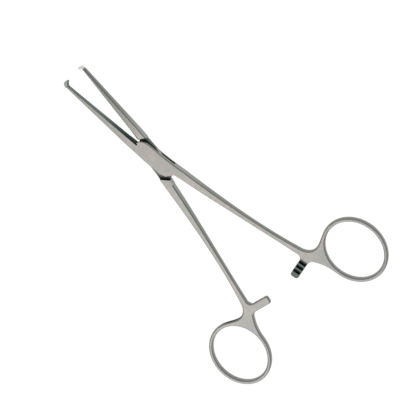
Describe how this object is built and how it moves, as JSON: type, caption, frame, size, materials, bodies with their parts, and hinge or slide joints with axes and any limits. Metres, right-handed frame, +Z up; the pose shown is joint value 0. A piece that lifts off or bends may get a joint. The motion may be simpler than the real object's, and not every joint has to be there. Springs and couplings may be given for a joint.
{
  "type": "hemostatic forceps",
  "caption": "Straight clamping forceps with a box lock, finger rings, a ratchet between the shanks and toothed jaw tips.",
  "frame": {"origin": "on the flat underside of the lock, under the middle of the pin", "axes": "+X from the lock to the jaw tips along the middle line between the open arms, +Z up along the hinge"},
  "size_m": [0.1765, 0.1116, 0.0052],
  "materials": {
    "satin_steel": "satin stainless steel, finely brushed along the arms"
  },
  "bodies": {
    "box_arm_body": {"box_arm": "satin_steel", "pivot_pin": "satin_steel"},
    "tongue_arm_body": {"tongue_arm": "satin_steel"}
  },
  "joints": [
    {"name": "box_lock_hinge", "type": "hinge", "parent": "box_arm_body", "child": "tongue_arm_body", "pos_m": [0, 0, 0.0026], "axis": [0, 0, -1], "range_deg": [-11.5, 48]}
  ]
}
